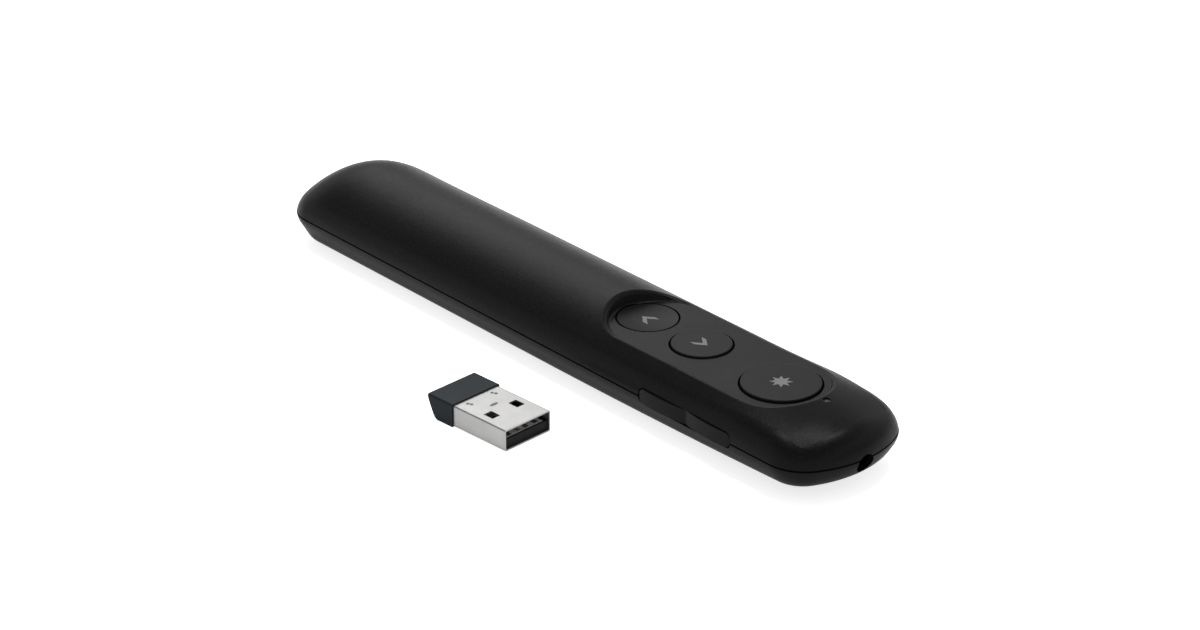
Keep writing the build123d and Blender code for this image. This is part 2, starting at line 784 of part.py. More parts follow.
with BuildPart() as side_rocker:
    with BuildSketch(Plane.XY.offset(key_z - key_height / 2)):
        with BuildLine():
            rear = ThreePointArc(
                (key_x - key_length / 2, key_face + 2 * key_proud),
                (key_x - key_length / 4, key_face),
                (key_x, key_face + key_valley),
            )
            front = ThreePointArc(
                (key_x, key_face + key_valley),
                (key_x + key_length / 4, key_face),
                (key_x + key_length / 2, key_face + 2 * key_proud),
            )
            Polyline(front @ 1, (key_x + key_length / 2, key_flange_y), (key_x - key_length / 2, key_flange_y), rear @ 0)
        make_face()
    extrude(amount=key_height)
    with BuildSketch(Plane.XZ.offset(half_width + 1)):
        with Locations((key_x, key_z)):
            RectangleRounded(key_length, key_height, key_corner)
    extrude(amount=-1 - key_depth - wall, mode=Mode.INTERSECT)
    with BuildSketch(Plane.XZ.offset(-key_flange_y)):
        with Locations((key_x, key_z)):
            RectangleRounded(
                key_length + 2 * key_flange_reach, key_height + 2 * key_flange_reach, key_corner + key_flange_reach
            )
    extrude(amount=-key_flange_thickness)
    with BuildSketch(Plane.XZ.offset(-key_flange_y - key_flange_thickness)):
        with Locations((key_x - side_switch_spread, key_z), (key_x + side_switch_spread, key_z)):
            Circle(2 * side_plunger_radius)
    extrude(amount=-key_pad)
    with BuildSketch(Plane.XY.offset(key_z - key_height / 2)):
        with Locations((key_x, pivot_y)):
            Circle(key_hub_radius)
        with Locations((key_x, (pivot_y + key_flange_y) / 2)):
            Rectangle(2 * key_hub_radius, pivot_y - key_flange_y)
    extrude(amount=key_height)
    with BuildSketch():
        with Locations((key_x, pivot_y)):
            Circle(key_pin_radius + key_pin_clearance)
    extrude(amount=body_height, mode=Mode.SUBTRACT)

with BuildPart() as rocker_pin:
    with BuildSketch(Plane.XY.offset(wall + underside(key_x))):
        with Locations((key_x, pivot_y)):
            Circle(key_pin_radius)
    extrude(amount=board_z - wall - underside(key_x) - board_clearance)


def side_switch(x):
    """Side-push tactile switch under the board's edge, facing the key."""
    with BuildPart() as switch:
        with BuildSketch(Plane.XY.offset(key_z - side_switch_drop)):
            with Locations((x, side_switch_y)):
                Rectangle(side_switch_length, side_switch_depth, align=(Align.CENTER, Align.MIN))
        extrude(amount=board_z - key_z + side_switch_drop)
        with BuildSketch(Plane.XZ.offset(-side_switch_y)):
            with Locations((x, key_z)):
                Circle(side_plunger_radius)
        extrude(amount=side_plunger_reach)
    return switch.part


side_switches = Compound(
    children=[side_switch(key_x - side_switch_spread), side_switch(key_x + side_switch_spread)]
)

# ---------------------------------------------------------------- power switch
power_knob_y = half_width + power_knob_proud - power_knob_thickness
with BuildPart() as power_slider:
    with BuildSketch(Plane.XZ.offset(-power_knob_y)):
        with Locations((power_x, power_z)):
            RectangleRounded(power_knob_length, power_knob_height, 0.4)
    extrude(amount=-power_knob_thickness)
    with BuildSketch(Plane.XZ.offset(-board_half_width + power_neck)):
        with Locations((power_x, power_z)):
            Rectangle(power_neck, power_neck)
    extrude(amount=-(power_knob_y - board_half_width + power_neck))

with BuildPart() as power_switch:
    with BuildSketch(Plane.XY.offset(board_z - power_body_height)):
        with Locations((power_x + power_travel / 2, board_half_width)):
            Rectangle(power_body_length, power_body_depth, align=(Align.CENTER, Align.MAX))
    extrude(amount=power_body_height)
    with BuildSketch(Plane.XZ.offset(-board_half_width)):
        with Locations((power_x + power_travel / 2, power_z)):
            Rectangle(power_neck + power_travel + power_gap, power_neck + power_gap)
    extrude(amount=power_neck + power_gap / 2, mode=Mode.SUBTRACT)

# ---------------------------------------------------------------- cell, contacts and leads
with BuildPart() as battery_cell:
    with BuildSketch(Plane.YZ.offset(cell_back)):
        with Locations((0, cell_z)):
            Circle(cell_radius)
    extrude(amount=cell_length)
    chamfer(battery_cell.edges().filter_by(GeomType.CIRCLE), 0.4)
    with BuildSketch(Plane.YZ.offset(cell_back + cell_length)):
        with Locations((0, cell_z)):
            Circle(nub_radius)
    extrude(amount=nub_length)

with BuildPart() as negative_contact:
    with BuildSketch(Plane.YZ.offset(contact_back)):
        with Locations((0, deck_top)):
            Rectangle(contact_width, board_top - deck_top, align=(Align.CENTER, Align.MIN))
    extrude(amount=contact_thickness)
    coil_radius = cell_radius / 2
    coil = Helix(
        pitch=(spring_length - spring_wire * 2) / spring_turns,
        height=spring_length - spring_wire * 2,
        radius=coil_radius,
        center=(spring_back + spring_wire / 2, 0, cell_z),
        direction=(1, 0, 0),
    )
    with BuildSketch(Plane(origin=coil @ 0, z_dir=coil % 0)):
        RegularPolygon(spring_wire, 6)
    sweep(path=coil)

with BuildPart() as positive_contact:
    with BuildSketch(Plane.YZ.offset(nub_front)):
        with Locations((0, deck_top)):
            Rectangle(contact_width, board_z - deck_top, align=(Align.CENTER, Align.MIN))
    extrude(amount=contact_thickness)
    with BuildSketch(Plane.XY.offset(board_z - contact_thickness)):
        with Locations((nub_front, 0)):
            Rectangle(board_back + bay_wall - nub_front, contact_width / 2, align=(Align.MIN, Align.CENTER))
    extrude(amount=contact_thickness)

lead_y = cell_radius + 2 * lead_radius
lead_z = board_z - lead_radius
lead_end_y = receiver_bay_width / 2 + bay_wall + 2 * lead_radius
with BuildPart() as negative_lead:
    with BuildLine():
        route = FilletPolyline(
            (spring_back, contact_width / 2 - lead_radius, lead_z),
            (spring_back + spring_length / 3, contact_width / 2 - lead_radius, lead_z),
            (cell_back - 2 * lead_radius, lead_y, lead_z),
            (nub_front - spring_length, lead_y, lead_z),
            (board_back - bay_wall, lead_end_y, lead_z),
            (board_back + 2 * bay_wall, lead_end_y, lead_z),
            radius=2 * lead_radius,
        )
    with BuildSketch(Plane(origin=route @ 0, z_dir=route % 0)):
        Circle(lead_radius)
    sweep()

# ---------------------------------------------------------------- USB receiver
plug = Plane(origin=(receiver_x, receiver_y, 0)).rotated((0, 0, receiver_turn))


def along(plane, distance):
    """A plane across the plug, at a distance behind its mouth."""
    spot = plane.from_local_coords((-distance, 0, 0))
    return Plane(origin=spot, x_dir=plane.y_dir, z_dir=plane.x_dir)


with BuildPart() as receiver_shell:
    with BuildSketch(along(plug, 0)):
        with Locations((0, plug_height / 2)):
            RectangleRounded(plug_width, plug_height, plug_corner)
            RectangleRounded(
                plug_width - 2 * plug_sheet,
                plug_height - 2 * plug_sheet,
                plug_corner - plug_sheet * 0.7,
                mode=Mode.SUBTRACT,
            )
    extrude(amount=-plug_length - cap_length / 2)
    with BuildSketch(plug.offset(plug_height / 2)):
        with Locations((-window_setback, window_spread), (-window_setback, -window_spread)):
            Rectangle(window_length, window_width)
    extrude(amount=plug_height, mode=Mode.SUBTRACT)

with BuildPart() as receiver_cap:
    cap_height = plug_height + cap_overlap
    rear = plug_length + cap_length
    side_plane = Plane(
        origin=plug.from_local_coords((0, plug_width / 2 + cap_overlap, 0)),
        x_dir=plug.x_dir,
        z_dir=-plug.y_dir,
    )
    with BuildSketch(side_plane):
        with BuildLine():
            slope = Spline(
                (-rear, cap_height),
                (-rear + cap_slant * 0.42, cap_height * 0.38),
                (-rear + cap_slant, 0),
                tangents=[(0.1, -1), (1, -0.35)],
            )
            Polyline(slope @ 1, (-plug_length, 0), (-plug_length, cap_height), slope @ 0)
        make_face()
    extrude(amount=plug_width + 2 * cap_overlap)
    long_edges = receiver_cap.edges().filter_by(lambda edge: abs(edge.center().Z - cap_height) < 0.01)
    fillet(long_edges.filter_by(lambda edge: edge.length < 10), cap_edge)
    with BuildSketch(along(plug, plug_length)):
        with Locations((0, plug_height / 2)):
            RectangleRounded(plug_width, plug_height, plug_corner)
    extrude(amount=-cap_length / 2, mode=Mode.SUBTRACT)

card_start = tongue_setback + card_inset
tongue_top = plug_sheet + tongue_height

with BuildPart() as receiver_tongue:
    with BuildSketch(along(plug, tongue_setback)):
        with Locations((0, plug_sheet)):
            Rectangle(plug_width - 2 * plug_sheet, tongue_height, align=(Align.CENTER, Align.MIN))
    extrude(amount=-tongue_length)
    long_edges = receiver_tongue.edges().filter_by(lambda edge: abs(edge.length - tongue_length) < 0.1)
    fillet(long_edges, plug_sheet)
    with BuildSketch(along(plug, card_start - card_clearance)):
        with Locations((0, tongue_top)):
            Rectangle(
                card_width + 2 * card_clearance, 2 * card_thickness, align=(Align.CENTER, Align.CENTER)
            )
    extrude(amount=-tongue_length, mode=Mode.SUBTRACT)

with BuildPart() as receiver_board:
    with BuildSketch(plug.offset(tongue_top - card_thickness)):
        with Locations((-card_start, 0)):
            Rectangle(plug_length + card_tail - card_start, card_width, align=(Align.MAX, Align.CENTER))
    extrude(amount=card_thickness)

with BuildPart() as receiver_contacts:
    with BuildSketch(plug.offset(tongue_top)):
        for y in (-contact_outer_y, -contact_inner_y, contact_inner_y, contact_outer_y):
            with Locations((-tongue_setback - contact_strip_setback, y)):
                Rectangle(contact_strip_length, contact_strip_width, align=(Align.MAX, Align.CENTER))
    extrude(amount=contact_strip_thickness)

with BuildPart() as receiver_chip:
    with BuildSketch(plug.offset(tongue_top)):
        with Locations((-plug_length, 0)):
            Rectangle(chip_size, chip_size)
    extrude(amount=chip_thickness)

# ---------------------------------------------------------------- write every piece
pieces = {
    "upper_shell": upper_shell.part,
    "lower_shell": lower_shell.part,
    "battery_door": battery_door.part,
    "previous_button": previous_button,
    "next_button": next_button,
    "laser_button": laser_button,
    "previous_plunger": previous_plunger,
    "next_plunger": next_plunger,
    "laser_plunger": laser_plunger,
    "previous_switch": previous_switch,
    "next_switch": next_switch,
    "laser_switch": laser_switch,
    "main_board": main_board.part,
    "board_screws": board_screws,
    "housing_screws": housing_screws,
    "status_led": status_led.part,
    "light_guide": light_guide.part,
    "radio_chip": radio_chip.part,
    "crystal_can": crystal_can.part,
    "laser_barrel": laser_barrel.part,
    "laser_lens": laser_lens.part,
    "laser_diode": laser_diode.part,
    "side_rocker": side_rocker.part,
    "rocker_pin": rocker_pin.part,
    "side_switches": side_switches,
    "power_slider": power_slider.part,
    "power_switch": power_switch.part,
    "battery_cell": battery_cell.part,
    "negative_contact": negative_contact.part,
    "positive_contact": positive_contact.part,
    "negative_lead": negative_lead.part,
    "receiver_shell": receiver_shell.part,
    "receiver_cap": receiver_cap.part,
    "receiver_tongue": receiver_tongue.part,
    "receiver_contacts": receiver_contacts.part,
    "receiver_board": receiver_board.part,
    "receiver_chip": receiver_chip.part,
}

for name, piece in pieces.items():
    piece.label = name
    export_step(piece, f"parts/{name}.step")
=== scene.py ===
import json
from math import atan2, cos, pi, radians, sin

import bpy
from mathutils import Matrix, Quaternion, Vector

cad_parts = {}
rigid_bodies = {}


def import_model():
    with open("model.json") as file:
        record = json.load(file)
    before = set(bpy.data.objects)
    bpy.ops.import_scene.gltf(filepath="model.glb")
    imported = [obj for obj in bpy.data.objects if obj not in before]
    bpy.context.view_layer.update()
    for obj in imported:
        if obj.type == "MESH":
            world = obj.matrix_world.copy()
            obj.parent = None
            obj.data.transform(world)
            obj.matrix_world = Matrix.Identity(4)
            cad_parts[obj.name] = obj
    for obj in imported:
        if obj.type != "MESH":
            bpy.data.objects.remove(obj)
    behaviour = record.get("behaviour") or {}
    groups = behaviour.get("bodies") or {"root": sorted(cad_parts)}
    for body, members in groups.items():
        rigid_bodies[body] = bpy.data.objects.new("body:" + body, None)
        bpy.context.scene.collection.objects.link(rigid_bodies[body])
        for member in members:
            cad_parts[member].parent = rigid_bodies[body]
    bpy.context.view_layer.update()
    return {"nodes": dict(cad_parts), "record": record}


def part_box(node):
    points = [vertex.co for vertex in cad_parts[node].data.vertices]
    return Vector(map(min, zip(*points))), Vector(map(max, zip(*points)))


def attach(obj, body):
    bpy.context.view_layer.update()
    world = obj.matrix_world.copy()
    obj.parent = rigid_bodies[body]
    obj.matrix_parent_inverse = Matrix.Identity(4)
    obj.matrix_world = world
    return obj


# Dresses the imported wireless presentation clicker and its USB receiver.
# Everything is in metres, in the part's own frame: +X to the laser nose, +Z up.

bpy.ops.object.select_all(action="SELECT")
bpy.ops.object.delete()
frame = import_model()
MM = 0.001

# ---------------------------------------------------------------- colours and shine
SHELL_COLOR = (0.0062, 0.0062, 0.0065)
BUTTON_COLOR = (0.0065, 0.0065, 0.0068)
KEY_COLOR = (0.0062, 0.0062, 0.0065)
PRINT_GREY = (0.15, 0.15, 0.154)
PLASTIC_IOR = 1.46
MATTE_IOR = 1.17                 # of plastic whose fine texture takes most of its shine
TONGUE_IOR = 1.2
CAP_IOR = 1.19
CLEAR_IOR = 1.49
CLEAR_SHARE = 0.9                # of the light that goes through a clear moulding
FULL_SHINE = 0.5                 # specular level of an untouched surface

# ---------------------------------------------------------------- texture of the surfaces
SPARK_GRAIN = 0.26 * MM          # spark-eroded texture of the moulded shells
SPARK_DEPTH = 0.03 * MM
SOFT_GRAIN = 0.11 * MM           # finer texture of buttons, keys and small mouldings
BUTTON_DEPTH = 0.006 * MM
SOFT_DEPTH = 0.004 * MM
SMOOTH_DEPTH = 0.003 * MM
FINEST_DEPTH = 0.002 * MM
INK_GRAIN = 0.08 * MM
EPOXY_GRAIN = 0.09 * MM
WIRE_GRAIN = 0.2 * MM
METAL_GRAIN = 0.25 * MM
BOARD_GRAIN = 0.4 * MM
SLEEVE_GRAIN = 0.5 * MM
CLEAR_HAZE = 0.3 * MM
SPECK_SIZE = 1.6                 # of the specks in a moulding's colour, in grains
GLOSS_SPREAD = 0.015             # how far the roughness of a moulding drifts
GLOSS_DRIFT = 9 * MM             # over about this distance
METAL_DRIFT = 4 * MM
GRAIN_SHADES = (0.8, 1.25)       # of a moulding's colour, from speck to speck
METAL_SHADE = 0.92               # of a metal's colour, where it is darkest
METAL_GLOSS = (0.75, 1.3)        # of a metal's roughness, along its marks
HAZE_GLOSS = (0.8, 1.4)          # of a clear moulding's roughness
NOISE_SPAN = (0.3, 0.7)          # noise values over which a roughness drifts
SHADE_SPAN = (0.32, 0.68)        # noise values over which a colour drifts
GRAIN_DETAIL = 1.5
SPECK_DETAIL = 1.0
DRIFT_DETAIL = 2.0
METAL_DETAIL = 3.0

# ---------------------------------------------------------------- painted shade along the line between the shells
SHUT_LINE_Z = 7.2 * MM           # plane where the two shells meet
SHUT_LINE_SHADE = 0.16 * MM       # half the breadth of the painted shade line
SHUT_LINE_SHADE_FADE = 0.08 * MM

# ---------------------------------------------------------------- printed marks
MARK_THICKNESS = 0.03 * MM
MARK_SINK = 1.5                  # a mark goes this many thicknesses down from its top
MARK_LIFT = 1 * MM               # of a mark above the piece, before it is laid on
CHEVRON_REACH = 1.0 * MM         # half its depth along the handset
CHEVRON_SPREAD = 1.55 * MM       # half its width across the handset
CHEVRON_STROKE = 1.3 * MM
CHEVRON_CUTS = 3                 # fine enough to follow the dished button
BURST_POINTS = 8
BURST_RADIUS = 2.3 * MM
BURST_HEART = 0.52               # radius of the burst's notches, as a share

# ---------------------------------------------------------------- welds on the plug
RECEIVER_TURN = radians(4.0)
WELD_SIDES = 20
WELD_SIZE = 0.7 * MM
WELD_PAIR = 0.7 * MM             # between the two dots of a pair
WELD_SPREAD = 3.2 * MM           # of the pairs from the plug's middle line
WELD_SETBACK = -3.75 * MM        # of the pairs from the plug's middle
WELD_SLOT_AHEAD = 3.35 * MM      # of the slot, from the pairs
WELD_SLOT_LENGTH = 2.0 * MM
WELD_SLOT_WIDTH = 0.75 * MM

# ---------------------------------------------------------------- floor
FLOOR_SIZE = 6
FLOOR_COLOR = (0.85, 0.85, 0.85)
FLOOR_ROUGHNESS = 0.9
FLOOR_GLOW = 0.74
FLOOR_SHINE = 0.4                # share of that glow which mirrors see

# ---------------------------------------------------------------- studio
WORLD_FILL = 0.5                 # light that the studio throws on matte surfaces
NEAR_WALL = 0.9                  # what mirrors see of the wall on the near side
NEAR_TOP = (0.4, 0.65)           # sine of the elevation where the near wall fades out
REAR_WALL = 0.45                 # what mirrors see of the wall behind, at the horizon
REAR_TOP = 1.0                   # and higher up
REAR_RISE = (0.1, 0.45)          # sine of the elevation over which the rear wall brightens
WALL_TURN = (-0.1, 0.3)          # Y of a direction, from the near wall to the wall behind
CEILING_SHADE = 0.06
CEILING_EDGE = (0.6, 0.8)        # sine of the elevation from the walls to the ceiling
OVERHEAD_SIDE = 0.22
REAR_LAMP_HEIGHT = 0.5
REAR_LAMP_POWER = 0.75
REAR_LAMP_LEAN = radians(-30)

# ---------------------------------------------------------------- camera
CAMERA_TARGET = Vector((-7.635, 11.662, 0.0)) * MM
CAMERA_DISTANCE = 711.993 * MM
CAMERA_ELEVATION = radians(26.479)
CAMERA_BEARING = radians(-41.335)
CAMERA_ROLL = radians(0.118)
CAMERA_LENS = 105.0
CAMERA_SENSOR = 36.0
CAMERA_NEAREST = 0.01
CAMERA_FARTHEST = 20.0


# ================================================================ making meshes
def deselect():
    """Leaves nothing selected and no object in edit mode."""
    if bpy.context.object and bpy.context.object.mode != "OBJECT":
        bpy.ops.object.mode_set(mode="OBJECT")
    bpy.ops.object.select_all(action="DESELECT")


def pick(piece):
    """Selects one piece and nothing else."""
    deselect()
    piece.select_set(True)
    bpy.context.view_layer.objects.active = piece


def select_where(piece, test):
    """Selects the vertices of a piece that pass a test of their place, in edit mode."""
    bpy.ops.object.mode_set(mode="EDIT")
    bpy.ops.mesh.select_mode(type="VERT")
    bpy.ops.mesh.select_all(action="DESELECT")
    bpy.ops.object.mode_set(mode="OBJECT")
    for vertex in piece.data.vertices:
        vertex.select = test(vertex.co)
    bpy.ops.object.mode_set(mode="EDIT")


def apply_modifiers(piece):
    """Turns every live modifier of a piece into mesh."""
    pick(piece)
    for modifier in list(piece.modifiers):
        bpy.ops.object.modifier_apply(modifier=modifier.name)


def settle(piece, name, body, finish):
    """Names a finished piece, puts its place into its mesh and seats it on its body."""
    pick(piece)
    bpy.ops.object.transform_apply(location=True, rotation=True, scale=True)
    piece.name = name
    piece.data.name = name
    piece.data.materials.clear()
    piece.data.materials.append(finish)
    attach(piece, body)
    deselect()


# ================================================================ building node trees
def feed(tree, value, socket):
    """Gives a socket a plain value, or links it to another socket."""
    if isinstance(value, (int, float)):
        socket.default_value = value
    else:
        tree.links.new(value, socket)


def maths(tree, operation, first, second=0.0):
    """One step of arithmetic on two values."""
    step = tree.nodes.new("ShaderNodeMath")
    step.operation = operation
    feed(tree, first, step.inputs[0])
    feed(tree, second, step.inputs[1])
    return step.outputs[0]


def ramp(tree, source, span, low, high, course="LINEAR"):
    """A value that goes from low to high while its source crosses a span."""
    step = tree.nodes.new("ShaderNodeMapRange")
    step.interpolation_type = course
    step.inputs["From Min"].default_value = span[0]
    step.inputs["From Max"].default_value = span[1]
    step.inputs["To Min"].default_value = low
    step.inputs["To Max"].default_value = high
    tree.links.new(source, step.inputs["Value"])
    return step.outputs["Result"]


def blend(tree, share, first, second):
    """First value where the share is nought, second where it is one."""
    mix = tree.nodes.new("ShaderNodeMix")
    mix.data_type = "FLOAT"
    feed(tree, share, mix.inputs["Factor"])
    feed(tree, first, mix.inputs["A"])
    feed(tree, second, mix.inputs["B"])
    return mix.outputs["Result"]


def either(tree, *flags):
    """One where any of the light path's named flags is one."""
    path = tree.nodes.new("ShaderNodeLightPath")
    found = path.outputs[flags[0]]
    for flag in flags[1:]:
        found = maths(tree, "MAXIMUM", found, path.outputs[flag])
    return found


# ================================================================ finishes
def new_material(name, color, roughness, metallic=0.0, ior=PLASTIC_IOR):
    """A material and its Principled shader, with the shader's plain values set."""
    made = bpy.data.materials.new(name)
    made.use_nodes = True
    shader = made.node_tree.nodes["Principled BSDF"]
    shader.inputs["Base Color"].default_value = (*color, 1)
    shader.inputs["Roughness"].default_value = roughness
    shader.inputs["Metallic"].default_value = metallic
    shader.inputs["IOR"].default_value = ior
    return made, shader


def noise(made, size, detail, stretch=(1, 1, 1)):
    """Noise on Object coordinates, with features of about the given size."""
    nodes, links = made.node_tree.nodes, made.node_tree.links
    place = nodes.new("ShaderNodeTexCoord")
    mapping = nodes.new("ShaderNodeMapping")
    mapping.inputs["Scale"].default_value = stretch
    texture = nodes.new("ShaderNodeTexNoise")
    texture.inputs["Scale"].default_value = 1 / size
    texture.inputs["Detail"].default_value = detail
    links.new(place.outputs["Object"], mapping.inputs["Vector"])
    links.new(mapping.outputs["Vector"], texture.inputs["Vector"])
    return texture.outputs["Fac"]


def add_bump(made, shader, pattern, depth):
    """Raises the surface by a pattern."""
    bump = made.node_tree.nodes.new("ShaderNodeBump")
    bump.inputs["Strength"].default_value = 1.0
    bump.inputs["Distance"].default_value = depth
    made.node_tree.links.new(pattern, bump.inputs["Height"])
    made.node_tree.links.new(bump.outputs["Normal"], shader.inputs["Normal"])


def vary_gloss(made, shader, pattern, low, high):
    """Moves the roughness between two limits over the surface."""
    spread = ramp(made.node_tree, pattern, NOISE_SPAN, low, high)
    made.node_tree.links.new(spread, shader.inputs["Roughness"])


def tint(made, shader, pattern, dark, light):
    """Moves the colour between two shades over the surface."""
    shades = made.node_tree.nodes.new("ShaderNodeValToRGB")
    for stop, position, color in zip(shades.color_ramp.elements, SHADE_SPAN, (dark, light)):
        stop.position = position
        stop.color = (*color, 1)
    made.node_tree.links.new(pattern, shades.inputs["Fac"])
    made.node_tree.links.new(shades.outputs["Color"], shader.inputs["Base Color"])


def moulded(name, color, roughness, grain, depth, ior=PLASTIC_IOR):
    """Moulded plastic: fine even grain, with a faint drift of shade and gloss."""
    made, shader = new_material(name, color, roughness, ior=ior)
    add_bump(made, shader, noise(made, grain, GRAIN_DETAIL), depth)
    drift = noise(made, GLOSS_DRIFT, DRIFT_DETAIL)
    vary_gloss(made, shader, drift, roughness - GLOSS_SPREAD, roughness + GLOSS_SPREAD)
    speck = noise(made, grain * SPECK_SIZE, SPECK_DETAIL)
    dark, light = ([value * shade for value in color] for shade in GRAIN_SHADES)
    tint(made, shader, speck, dark, light)
    return made


def paint_shut_line_shade(made):
    """Paints shade along the rounded lips of the two shells where they meet, by taking away their shine
    in a thin band.
    """
    tree = made.node_tree
    place = tree.nodes.new("ShaderNodeTexCoord")
    split = tree.nodes.new("ShaderNodeSeparateXYZ")
    tree.links.new(place.outputs["Object"], split.inputs["Vector"])
    height = maths(tree, "SUBTRACT", split.outputs["Z"], SHUT_LINE_Z)
    span = (SHUT_LINE_SHADE, SHUT_LINE_SHADE + SHUT_LINE_SHADE_FADE)
    fade = ramp(tree, maths(tree, "ABSOLUTE", height), span, 0.0, FULL_SHINE)
    tree.links.new(fade, tree.nodes["Principled BSDF"].inputs["Specular IOR Level"])


def metal(name, color, roughness, stretch=(1, 1, 1)):
    """Bare or plated metal, with drawn or turned marks along the long side of the stretch."""
    made, shader = new_material(name, color, roughness, metallic=1.0)
    marks = noise(made, METAL_GRAIN, METAL_DETAIL, stretch)
    add_bump(made, shader, marks, FINEST_DEPTH)
    vary_gloss(made, shader, marks, *(roughness * share for share in METAL_GLOSS))
    drift = noise(made, METAL_DRIFT, DRIFT_DETAIL)
    tint(made, shader, drift, [value * METAL_SHADE for value in color], color)
    return made


def clear(name, color, roughness):
    """Clear or frosted moulding that light passes through."""
    made, shader = new_material(name, color, roughness, ior=CLEAR_IOR)
    shader.inputs["Transmission Weight"].default_value = CLEAR_SHARE
    haze = noise(made, CLEAR_HAZE, DRIFT_DETAIL)
    vary_gloss(made, shader, haze, *(roughness * share for share in HAZE_GLOSS))
    return made


shell_black = moulded("matte_black_shell", SHELL_COLOR, 0.33, SPARK_GRAIN, SPARK_DEPTH, MATTE_IOR)
# painted shade: a thin dark line along the plane where the two shells meet
paint_shut_line_shade(shell_black)
button_black = moulded("soft_black_button", BUTTON_COLOR, 0.34, SOFT_GRAIN, BUTTON_DEPTH, MATTE_IOR)
key_black = moulded("satin_black_key", KEY_COLOR, 0.36, SOFT_GRAIN, SOFT_DEPTH, MATTE_IOR)
grey_plastic = moulded("switch_plunger_grey", (0.25, 0.25, 0.26), 0.45, SOFT_GRAIN, SMOOTH_DEPTH)
print_grey = moulded("pad_print_grey", PRINT_GREY, 0.55, INK_GRAIN, FINEST_DEPTH)
board_green = moulded("solder_mask_green", (0.01, 0.12, 0.05), 0.3, BOARD_GRAIN, SOFT_DEPTH)
board_pale = moulded("solder_mask_pale", (0.5, 0.53, 0.6), 0.35, BOARD_GRAIN, SOFT_DEPTH)
chip_black = moulded("moulded_epoxy", (0.012, 0.012, 0.013), 0.4, EPOXY_GRAIN, SMOOTH_DEPTH)
tongue_black = moulded("tongue_black", (0.008, 0.008, 0.009), 0.4, SOFT_GRAIN, SMOOTH_DEPTH, TONGUE_IOR)
cap_slate = moulded("cap_slate", (0.011, 0.0165, 0.021), 0.42, SOFT_GRAIN, SOFT_DEPTH, CAP_IOR)
cell_sleeve = moulded("cell_sleeve", (0.035, 0.05, 0.075), 0.25, SLEEVE_GRAIN, FINEST_DEPTH)
wire_black = moulded("wire_insulation", (0.012, 0.012, 0.012), 0.4, WIRE_GRAIN, SOFT_DEPTH)
plug_steel = metal("plated_plug", (0.43, 0.427, 0.42), 0.36, (1, 14, 14))
pressed_steel = metal("pressed_steel", (0.15, 0.148, 0.142), 0.45)
bright_steel = metal("bright_steel", (0.55, 0.55, 0.56), 0.28)
gold_plate = metal("gold_plate", (0.3, 0.21, 0.1), 0.35, (1, 10, 1))
turned_brass = metal("turned_brass", (0.62, 0.45, 0.18), 0.28, (16, 1, 1))
lamp_clear = clear("lamp_clear", (0.16, 0.165, 0.16), 0.4)
lens_clear = clear("lens_clear", (0.95, 0.97, 1.0), 0.03)

# The finish of each material slot in the record.
FINISHES = {
    "shell_black": shell_black,
    "button_black": button_black,
    "side_key_black": key_black,
    "grey_plastic": grey_plastic,
    "clear_plastic": lamp_clear,
    "board_green": board_green,
    "board_pale": board_pale,
    "chip_black": chip_black,
    "tongue_black": tongue_black,
    "cap_slate": cap_slate,
    "plug_steel": plug_steel,
    "bright_steel": bright_steel,
    "gold": gold_plate,
    "barrel_brass": turned_brass,
    "lens_glass": lens_clear,
    "cell_case": cell_sleeve,
    "wire_black": wire_black,
}

for entry in frame["record"]["subparts"]:
    node = frame["nodes"][entry["node"]]
    node.data.materials.clear()
    node.data.materials.append(FINISHES[entry["material_slot"]])


# ================================================================ marks on the buttons and the plug
def top_middle(node):
    """Middle of a node's plan, a little above its top."""
    low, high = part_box(node)
    return Vector(((low.x + high.x) / 2, (low.y + high.y) / 2, high.z + MARK_LIFT))


def lay_on(mark, node):
    """Lays a flat mark on top of a node, and gives it the thickness of a print."""
    wrap = mark.modifiers.new("lay", "SHRINKWRAP")
    wrap.wrap_method = "PROJECT"
    wrap.use_project_z = True
    wrap.use_negative_direction = True
    wrap.use_positive_direction = False
    wrap.target = frame["nodes"][node]
    wrap.offset = MARK_THICKNESS
    skin = mark.modifiers.new("thickness", "SOLIDIFY")
    skin.thickness = MARK_THICKNESS * MARK_SINK
    skin.offset = -1
    apply_modifiers(mark)


def chevron(node, name, direction):
    """Printed chevron on a button: its tip points along X in the given direction."""
    deselect()
    middle = top_middle(node)
    bpy.ops.mesh.primitive_plane_add(size=1, location=middle)
    mark = bpy.context.object
    bpy.ops.object.mode_set(mode="EDIT")
    bpy.ops.transform.resize(value=(CHEVRON_STROKE, 2 * CHEVRON_SPREAD, 1), center_override=middle)
    bpy.ops.mesh.subdivide(number_cuts=1)
    bpy.ops.transform.translate(value=(-direction * CHEVRON_REACH, 0, 0))
    select_where(mark, lambda place: abs(place.y) < CHEVRON_SPREAD / 2)
    bpy.ops.transform.translate(value=(2 * direction * CHEVRON_REACH, 0, 0))
    bpy.ops.mesh.select_all(action="SELECT")
    bpy.ops.mesh.subdivide(number_cuts=CHEVRON_CUTS)
    bpy.ops.object.mode_set(mode="OBJECT")
    lay_on(mark, node)
    settle(mark, name, node, print_grey)


def burst(node, name):
    """Printed burst: a disc of which every second corner is drawn in."""
    deselect()
    middle = top_middle(node)
    corners = 2 * BURST_POINTS
    bpy.ops.mesh.primitive_circle_add(
        vertices=corners, radius=BURST_RADIUS, fill_type="TRIFAN", location=middle
    )
    mark = bpy.context.object

    def notch(place):
        """True for every second corner of the rim."""
        corner = round(atan2(place.y, place.x) * corners / (2 * pi))
        return place.length > BURST_RADIUS / 2 and corner % 2 == 1

    select_where(mark, notch)
    bpy.ops.transform.resize(value=(BURST_HEART, BURST_HEART, 1), center_override=middle)
    bpy.ops.object.mode_set(mode="OBJECT")
    lay_on(mark, node)
    settle(mark, name, node, print_grey)


